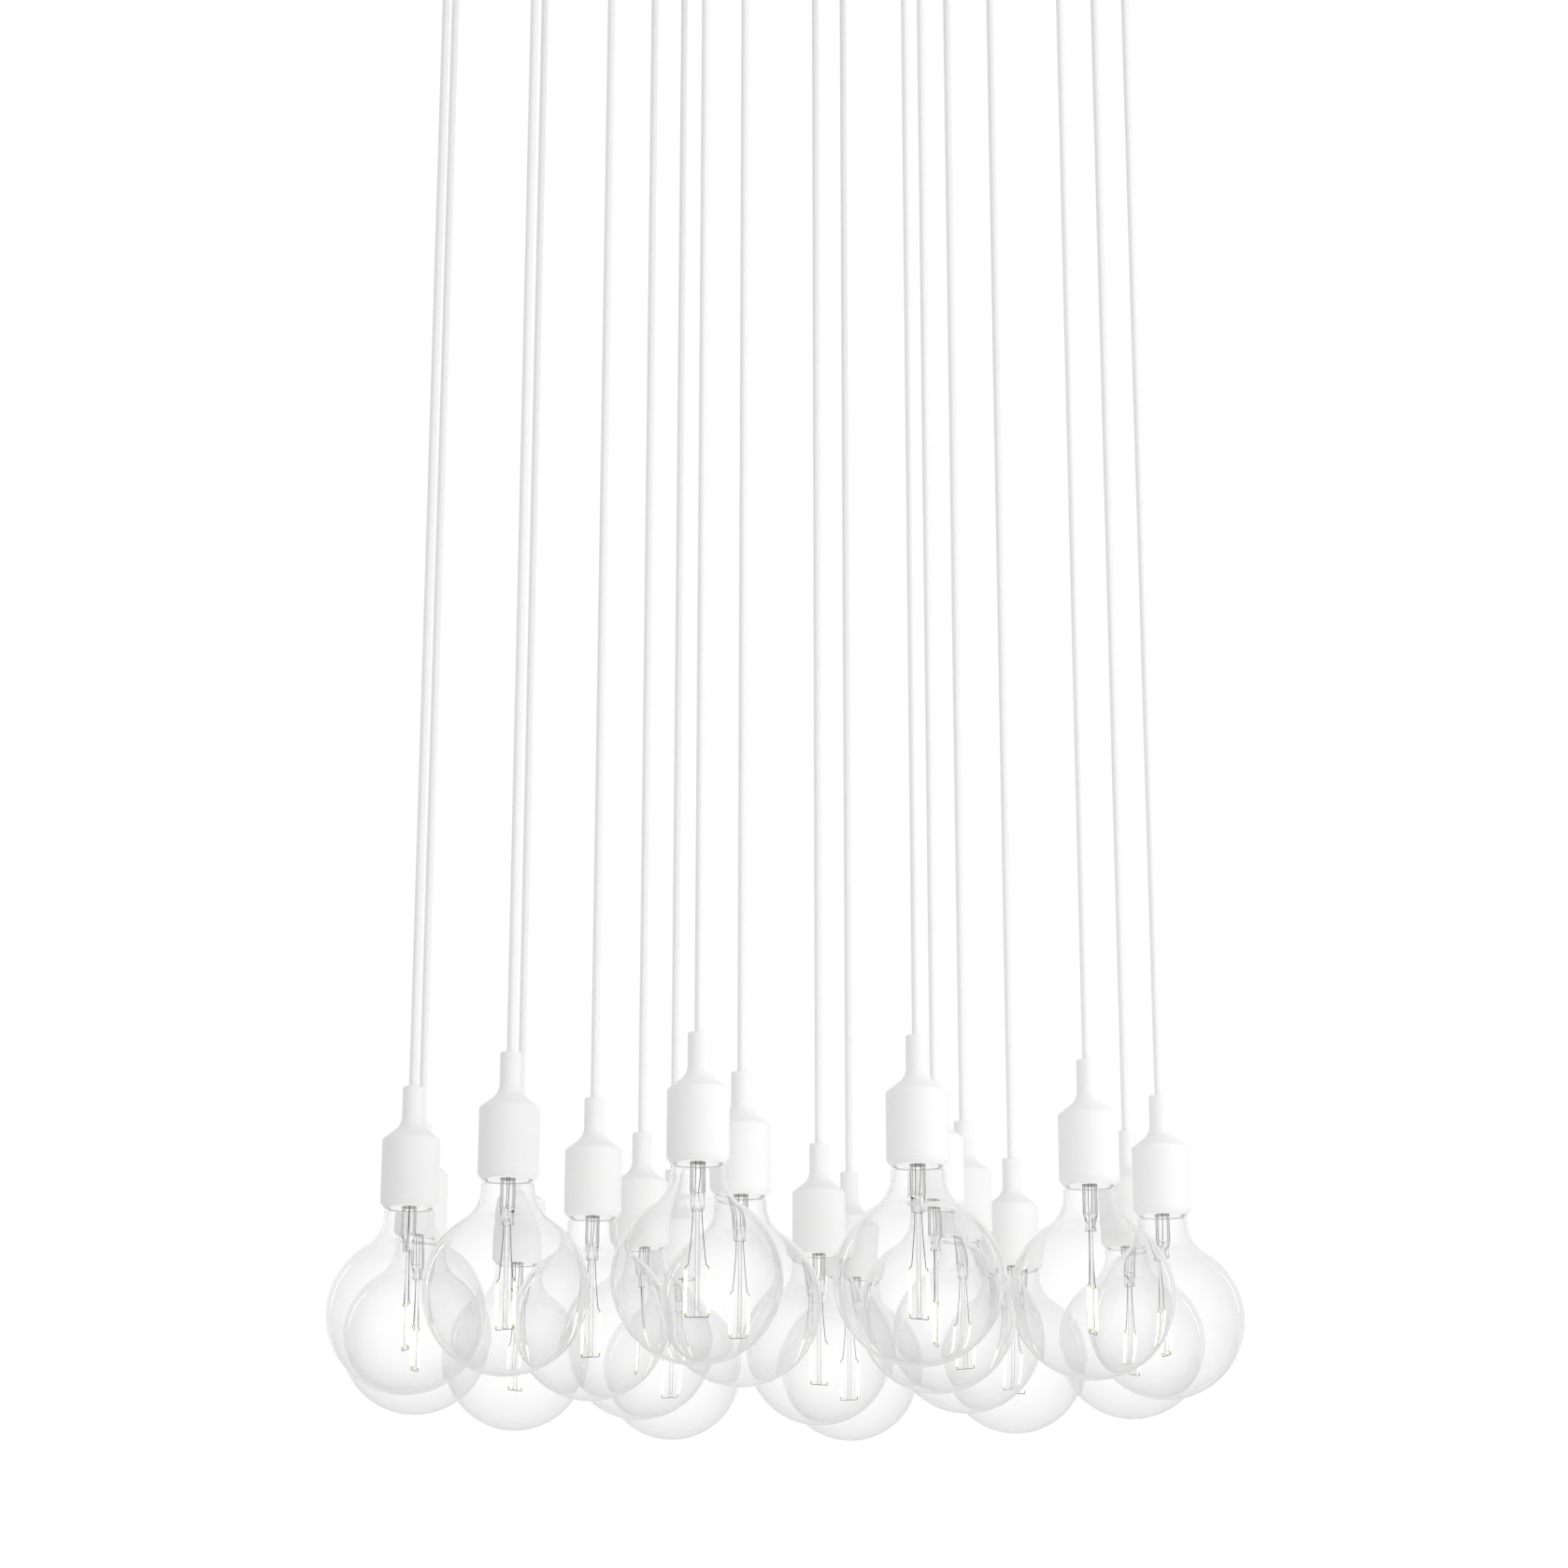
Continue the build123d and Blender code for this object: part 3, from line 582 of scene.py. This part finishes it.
glass = Outline(11.6, 80.0).to((12.4, 80.0), (12.4, 88.2), (13.0, 89.6), (17.0, 94.2))
glass.to((17.8, 95.4), (17.9, 98.0), (18.7, 99.2), (19.5, 100.5), (19.9, 102.0))
glass.to((GLASS_NECK_R, GLASS_NECK_D)).round(flare_centre, bend, 16)
glass.round((0, GLOBE_D), to_pole, 44)
glass.tip.co = (0, 0, -(GLOBE_D + GLOBE_R) * MM)  # right on the axis, so the pole closes
glass.to((0, GLOBE_D + GLOBE_R - WALL)).round((0, GLOBE_D), -to_pole, 44)
glass.round(flare_centre, -bend, 16)
glass.to((19.1, 102.0), (18.7, 100.8), (17.9, 99.5), (17.1, 98.2), (17.0, 95.6))
glass.to((16.2, 94.6), (12.2, 89.8), (11.6, 88.4), (11.6, 80.0))
envelope_pattern = to_mesh("envelope_pattern", glass.lathe(96), 60)
print("neck flare radius", round(neck_flare, 2), "bend", round(bend, 1))

# %% [markdown]
# ## The stem
# A glass tube comes down inside the neck, open above and pinched solid below, where
# the lead wires pass through. The pinch is pressed from two sides, so it is turned with
# the wires and looks narrow from the side. A thin rod goes on down from it and ends in
# a bead that holds the crossbar. A white disc round the top of the tube hides the cap.

# %% Stem patterns
TUBE_R, TUBE_BORE_R = 5.6, 4.3
FOOT_R, FOOT_ROUND = 5.2, 1.6
PINCH_TOP, WAIST_D, STEM_END = 120.2, 126.8, 131.8
WAIST_HALF, WIDER_AT_TOP, WIDER_AT_FOOT = 2.8, 2.5, 1.4


def pinch_half(d):
    """Half thickness of the pressed end, which is thinnest at its waist."""
    if d < WAIST_D:
        return WAIST_HALF + WIDER_AT_TOP * ((WAIST_D - d) / (WAIST_D - PINCH_TOP)) ** 2
    return WAIST_HALF + WIDER_AT_FOOT * ((d - WAIST_D) / (STEM_END - WAIST_D)) ** 2


stem = Outline(11.2, 84.4).to((10.2, 86.6), (7.6, 90.6), (6.0, 93.6), (TUBE_R, 96.0))
stem.to((TUBE_R, 118.6), (5.45, 119.0), (FOOT_R, 119.3))
stem.to(*rows(FOOT_R, PINCH_TOP, STEM_END - FOOT_ROUND, 14))
stem.round((FOOT_R - FOOT_ROUND, STEM_END - FOOT_ROUND), -90, 5)
stem.to((0, STEM_END), (0, PINCH_TOP), (2.5, 120.0), (3.7, 119.0), (4.2, 117.4))
stem.to((TUBE_BORE_R, 115.0), (TUBE_BORE_R, 96.2), (4.8, 93.8), (6.8, 90.8), (9.5, 86.8))
stem.to((10.4, 84.4))
stem_shape = stem.close().lathe(64)
for vert in stem_shape.verts:
    if vert.co.z < -PINCH_TOP * MM:
        half = pinch_half(-vert.co.z / MM) * MM
        vert.co.y = max(-half, min(half, vert.co.y))
stem_pattern = to_mesh("stem_pattern", stem_shape, 50)
print("stem faces", len(stem_pattern.polygons))

# %% Rod and neck disc patterns
ROD_R, ROD_TOP, BEAD_END = 1.65, 131.85, 208.7
DISC_HOLE_R, DISC_TOP, DISC_FOOT = 5.8, 95.6, 96.8

rod = Outline(0, ROD_TOP).to((ROD_R, ROD_TOP), (ROD_R, 205.0), (1.85, 205.6), (2.15, 206.4))
rod.to((2.3, 207.2), (2.15, 207.9), (1.75, 208.4), (1.2, BEAD_END), (0, BEAD_END))
rod_pattern = to_mesh("rod_pattern", rod.lathe(24), 50)
shield = Outline(DISC_HOLE_R, DISC_TOP).to((16.6, DISC_TOP), (16.8, 95.8), (16.8, 96.6))
shield.to((16.6, DISC_FOOT), (DISC_HOLE_R, DISC_FOOT))
shield_pattern = to_mesh("shield_pattern", shield.close().lathe(48))
print("rod faces", len(rod_pattern.polygons), "disc faces", len(shield_pattern.polygons))

# %% [markdown]
# ## Wires
# Wires are curves with a round bevel, because a curve keeps an even thickness round a
# hook. They are turned into one mesh, which can be copied to each pendant like the other
# patterns. The cords further on are made with the same two helpers.

# %% Round curve helpers
def round_curve(name, radius, corners):
    """An empty curve with a round bevel, in metres; its lines are added to it later."""
    curve = bpy.data.curves.new(name, "CURVE")
    curve.dimensions = "3D"
    curve.bevel_depth = radius
    curve.bevel_resolution = corners
    curve.use_fill_caps = True
    return curve


def add_line(curve, places):
    """A smooth line that starts at the first place, in metres, and ends at the last."""
    line = curve.splines.new("NURBS")
    line.points.add(len(places) - 1)
    for point, place in zip(line.points, places):
        point.co = (*place, 1)
    line.order_u = 3
    line.use_endpoint_u = True
    return line


# %% [markdown]
# Two leads run down inside the stem, one nearly straight and the other at a slant. They
# are finer where the glass is pressed round them. Two support wires go on from the foot
# of the stem to the hooks that hold the filaments, and a crossbar joins these below.

# %% Wire pattern
WIRE_R = 0.28
FINE_SHARE = 0.45  # a lead's thickness in the pressed glass, as a share of the rest
HOOK_X, HOOK_D, BAR_D = 8.4, 173.8, 209.1
UPPER_END = HOOK_D + 1.2  # where a filament's upper end piece stops


def wire_mesh(name, routes):
    """Round wires along smooth routes of (x, depth, y) points, as one mesh."""
    curve = round_curve(name, WIRE_R * MM, 2)
    for route in routes:
        line = add_line(curve, [(x * MM, y * MM, -d * MM) for x, d, y in route])
        line.resolution_u = 6
        for point, (_, d, _) in zip(line.points, route):
            point.radius = FINE_SHARE if PINCH_TOP < d < STEM_END - 1 else 1.0
    holder = add_object(name, curve)
    mesh = bpy.data.meshes.new_from_object(holder)
    bpy.data.objects.remove(holder)
    mesh.name = name
    mesh.shade_smooth()
    return mesh


leads = [[(-1.5, 92, 0.8), (-1.6, 106, 0.8), (-1.8, 118, 0.5), (-2.2, 122, 0.3),
          (-2.8, 129, 0), (-3.2, 131.9, 0)],
         [(2.3, 92, -0.8), (2.0, 105, -0.8), (1.2, 114, -0.8), (0.6, 119, -0.6),
          (1.0, 123, -0.4), (2.4, 129, 0), (3.2, 131.9, 0)]]


def support_route(side):
    """From the stem's foot out to the hook that takes the filament's upper end."""
    return [(side * 3.2, 131.8, 0), (side * 3.4, 137, 0), (side * 4.5, 153, 0),
            (side * 6.2, 168, 0), (side * 6.5, 171.4, 0), (side * 7.4, 172.0, 0),
            (side * HOOK_X, 172.0, 0), (side * HOOK_X, UPPER_END, 0)]


bar_route = [(-HOOK_X, 206.4, 0), (-HOOK_X, 208.6, 0), (-HOOK_X + 0.3, BAR_D, 0),
             (-6.0, BAR_D, 0), (0, BAR_D, 0), (6.0, BAR_D, 0), (HOOK_X - 0.3, BAR_D, 0),
             (HOOK_X, 208.6, 0), (HOOK_X, 206.4, 0)]
wire_pattern = wire_mesh("wire_pattern", leads + [support_route(-1), support_route(1), bar_route])
print("wire faces", len(wire_pattern.polygons))

# %% [markdown]
# ## Filaments
# Each filament is a slim bar with rounded rims between a hook above and the crossbar
# below. Its short yellow ends are pieces of their own, because their finish differs.

# %% Edge helpers
def edges_of(made):
    """A new shape's edges, each one once and in the same order in every run."""
    return list(dict.fromkeys(edge for vert in made["verts"] for edge in vert.link_edges))


def round_edges(shape, edges, width, segments):
    """Bevels edges by a width in mm."""
    bmesh.ops.bevel(shape, geom=edges, offset=width * MM, offset_type="OFFSET",
                    segments=segments, profile=0.5, affect="EDGES", material=-1)


# %% Filament patterns
FILAMENT_R, END_R, FILAMENT_END = 1.0, 0.92, 207.2
LOWER_END = FILAMENT_END - 1.6


def filament_mesh(name, radius, *stretches):
    """Round bars on both sides of the rod, one for each stretch from depth to depth."""
    whole = bmesh.new()
    for side in (-1, 1):
        for start, stop in stretches:
            bar = bmesh.ops.create_cone(
                whole, cap_ends=True, segments=16, radius1=radius * MM,
                radius2=radius * MM, depth=(stop - start) * MM,
                matrix=Matrix.Translation((side * HOOK_X * MM, 0, -(start + stop) / 2 * MM)))
            rims = [edge for edge in edges_of(bar)
                    if abs(edge.verts[0].co.z - edge.verts[1].co.z) < 1e-9]
            round_edges(whole, rims, 0.25, 2)
    return to_mesh(name, whole, 50)


filament_pattern = filament_mesh("filament_pattern", FILAMENT_R, (UPPER_END, LOWER_END))
filament_end_pattern = filament_mesh(
    "end_pattern", END_R, (HOOK_D, UPPER_END), (LOWER_END, FILAMENT_END))
print("filament faces", len(filament_pattern.polygons), "from", HOOK_D, "to", FILAMENT_END, "mm")

# %% [markdown]
# ## The driver board
# The driver board stands on edge inside the screw shell. It shows only in a cutaway,
# but the meshes are a result too, so it gets its parts: two capacitors and a chip.

# %% Board pattern
BOARD_BLOCKS = [  # size and centre of the board, the capacitors and the chip, in mm
    ((14, 1.2, 13), (0, 0, -71.5)),
    ((5, 2.4, 5), (-3.5, 1.8, -70)),
    ((4, 2.0, 6), (3.5, 1.6, -73)),
    ((3, 1.0, 3), (3.8, -1.1, -69)),
]

board_shape = bmesh.new()
for size, centre in BOARD_BLOCKS:
    block = bmesh.ops.create_cube(
        board_shape, size=1.0,
        matrix=Matrix.Translation(Vector(centre) * MM) @ Matrix.Diagonal((*(Vector(size) * MM), 1)))
    round_edges(board_shape, edges_of(block), 0.15, 1)
board_pattern = to_mesh("board_pattern", board_shape)
print("board faces", len(board_pattern.polygons))

# %% [markdown]
# ## The cords
# Each cord is one straight, taut length from its grip down into the neck of its sleeve.
# Two control points are enough for a straight line, and two more keep its ends square.

# %% Cords
CORD_DIAMETER = 0.0064
SQUARE_END = 0.1  # metres at each end of a cord that surely run straight out


def make_cord(lamp):
    name, top, end = f"cord_line_{lamp['tag']}", lamp["cord_top"], lamp["cord_end"]
    curve = round_curve(name, CORD_DIAMETER / 2, 6)
    levels = (top, top - SQUARE_END, end + SQUARE_END, end)
    add_line(curve, [(lamp["x"], lamp["y"], level) for level in levels])
    curve.materials.append(sheath)
    piece = add_object(name, curve)
    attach(piece, f"pendant_{lamp['tag']}")
    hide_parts(f"cord_{lamp['tag']}")


for lamp in lamps:
    make_cord(lamp)
print("cords:", len(lamps), "of", round(lamps[0]["cord_top"] - lamps[0]["cord_end"], 4), "m")

# %% [markdown]
# ## Dressing all eighteen pendants
# Bulbs stop at a different turn in their threads, so each bulb's wires face their own
# way. The turns follow the picture, lamp by lamp, in degrees. What belongs to the
# lampholder rides on the pendant, and what belongs to the bulb comes out with it.

# %% What hangs on a pendant
BULB_TURNS = [47, 10, 15, 12, 52, 76, -66, -34, 0, 36, 66, -74, -31, 32, 90, -30, 30, 75]
HOLDER_PIECES = [
    ("holder", holder_pattern, thermoplastic),
    ("thread_liner", liner_pattern, screw_shell),
    ("contact_tongue", tongue_pattern, brass),
]
BULB_PIECES = [  # name, pattern, finish, and whether it turns with the bulb
    ("stem", stem_pattern, stem_glass, True),
    ("rod", rod_pattern, rod_glass, True),
    ("neck_shield", shield_pattern, shield_white, False),
    ("screw_cap", cap_pattern, screw_shell, True),
    ("insulator", insulator_pattern, black_glass, False),
    ("end_contact", contact_pattern, brass, False),
    ("driver_board", board_pattern, driver_board, True),
    ("wires", wire_pattern, wire_metal, True),
    ("filaments", filament_pattern, phosphor, True),
    ("filament_ends", filament_end_pattern, phosphor_end, True),
]
pieces_each = 2 + len(HOLDER_PIECES) + len(BULB_PIECES)
print("pieces on a pendant, with sleeve and globe:", pieces_each)

# %% Hang the pieces
for lamp, turn in zip(lamps, BULB_TURNS):
    tag = lamp["tag"]
    pendant, bulb = f"pendant_{tag}", f"lamp_{tag}"
    sleeve = hang(f"sleeve_{tag}", sleeve_pattern, lamp, pendant, silicone)
    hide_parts(f"lampholder_{tag}")
    for name, pattern, material in HOLDER_PIECES:
        hang(f"{name}_{tag}", pattern, lamp, pendant, material)
    envelope = hang(f"globe_{tag}", envelope_pattern, lamp, bulb, globe_glass)
    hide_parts(f"bulb_{tag}")
    for name, pattern, material, turns in BULB_PIECES:
        hang(f"{name}_{tag}", pattern, lamp, bulb, material, turn if turns else 0.0)
print("pieces hung:", len(lamps) * pieces_each)

# %% [markdown]
# ## The ceiling side
# The canopy, bracket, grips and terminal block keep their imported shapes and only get
# their finishes.

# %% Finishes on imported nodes
for node, material in (
    ("canopy", powder_coat), ("ceiling_bracket", zinc), ("cord_grips", nylon),
    ("terminal_block", nylon), ("canopy_screws", powder_coat),
):
    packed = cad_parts[node]
    packed.data.materials.clear()
    packed.data.materials.append(material)
    print(node, "is finished in", material.name)

# %% [markdown]
# ## Floor, world and light
# The picture's ground is pure white. The floor is a wide pale disc far below the lamps,
# and a little light of its own, for direct looks and looks through glass only, brings
# it near the white of the surroundings without lighting the object.

# %% Floor
FLOOR_LEVEL, FLOOR_RADIUS, FLOOR_GLOW = -2.3, 12.0, 0.3


def any_ray(nodes, links, *kinds):
    """An output that is 1 for the kinds of ray that are named, and 0 for the others."""
    path = nodes.new("ShaderNodeLightPath")
    found = path.outputs[kinds[0]]
    for kind in kinds[1:]:
        either = add_math(nodes, "MAXIMUM")
        links.new(found, either.inputs[0])
        links.new(path.outputs[kind], either.inputs[1])
        found = either.outputs[0]
    return found


floor_shape = bmesh.new()
bmesh.ops.create_circle(floor_shape, cap_ends=True, segments=96, radius=FLOOR_RADIUS,
                        matrix=Matrix.Translation((0, 0, FLOOR_LEVEL)))
floor = add_object("floor", to_mesh("floor", floor_shape))
floor_material, floor_nodes, floor_links, floor_shader = new_material("pale_floor")
floor_shader.inputs["Base Color"].default_value = (0.86, 0.86, 0.86, 1)
floor_shader.inputs["Roughness"].default_value = 0.8
floor_seen = any_ray(floor_nodes, floor_links, "Is Camera Ray", "Is Transmission Ray")
floor_lift = add_math(floor_nodes, "MULTIPLY")
floor_lift.inputs[1].default_value = FLOOR_GLOW
floor_links.new(floor_seen, floor_lift.inputs[0])
floor_links.new(floor_lift.outputs[0], floor_shader.inputs["Emission Strength"])
floor.data.materials.append(floor_material)
print("floor at", FLOOR_LEVEL, "m")

# %% [markdown]
# The world is white for what the camera, a reflection or a look through glass sees, and
# a softer level lights the object, so that its white pieces keep their shading.

# %% World
WORLD_LIGHT = 0.685
world = bpy.data.worlds.new("world")
bpy.context.scene.world = world
world.use_nodes = True
world_nodes, world_links = world.node_tree.nodes, world.node_tree.links
backdrop = world_nodes["Background"]
backdrop.inputs["Color"].default_value = (1, 1, 1, 1)
world_seen = any_ray(
    world_nodes, world_links, "Is Camera Ray", "Is Glossy Ray", "Is Transmission Ray")
strength = world_nodes.new("ShaderNodeMapRange")
strength.inputs["To Min"].default_value = WORLD_LIGHT
strength.inputs["To Max"].default_value = 1.0
world_links.new(world_seen, strength.inputs["Value"])
world_links.new(strength.outputs["Result"], backdrop.inputs["Strength"])
print("world lights the object at", WORLD_LIGHT)

# %% [markdown]
# One large soft light stands on the right, so that the left sides fall to pale grey, and
# a second in front fills the middle. A weak one behind gives the far sides their shape.
# Two slim strips draw the thin bright streaks on the globes' flanks.

# %% Lights
AIM_BELOW_NECK = 0.12
lamp_centre = Vector((0, 0, neck_level - AIM_BELOW_NECK))


def add_area(name, x, y, above_neck, size, watts):
    """A rectangular light that faces the lamps and isn't seen in the picture."""
    data = bpy.data.lights.new(name, "AREA")
    data.shape = "RECTANGLE"
    data.size, data.size_y = size
    data.energy = watts
    light = add_object(name, data)
    light.location = (x, y, neck_level + above_neck)
    light.rotation_euler = (lamp_centre - light.location).to_track_quat("-Z", "Y").to_euler()
    light.visible_camera = False
    light.visible_glossy = False
    light.visible_transmission = False
    return light


add_area("key_right", 3.0, -1.25, 0.45, (1.6, 2.3), 24)
add_area("fill_front", 0.85, -2.35, 0.55, (1.7, 1.15), 13.5)
add_area("fill_behind", 0.2, 3.6, 0.6, (1.6, 2.0), 4)
for side, watts in ((-1, 3.2), (1, 1.6)):
    strip = add_area(f"strip_{side}", side * 2.4, 1.7, 0.9, (0.1, 1.3), watts)
    strip.visible_glossy = True

# %% [markdown]
# A ray that crosses four globes passes sixteen faces of glass, so it is allowed more
# steps than usual before it is given up as black. The white surroundings reach what
# stands behind glass by bent rays, which are kept sharp.

# %% Light paths through glass
cycles = bpy.context.scene.cycles
cycles.max_bounces = 40
cycles.transmission_bounces = 36
cycles.transparent_max_bounces = 40
cycles.caustics_refractive = True
cycles.blur_glossy = 0.0
cycles.glossy_bounces = 6
print("steps through glass:", cycles.transmission_bounces)

# %% [markdown]
# The Standard view shows a colour about as it is written, which is what a picture on a
# white ground needs.

# %% View settings
bpy.context.scene.view_settings.view_transform = "Standard"
print("view transform:", bpy.context.scene.view_settings.view_transform)
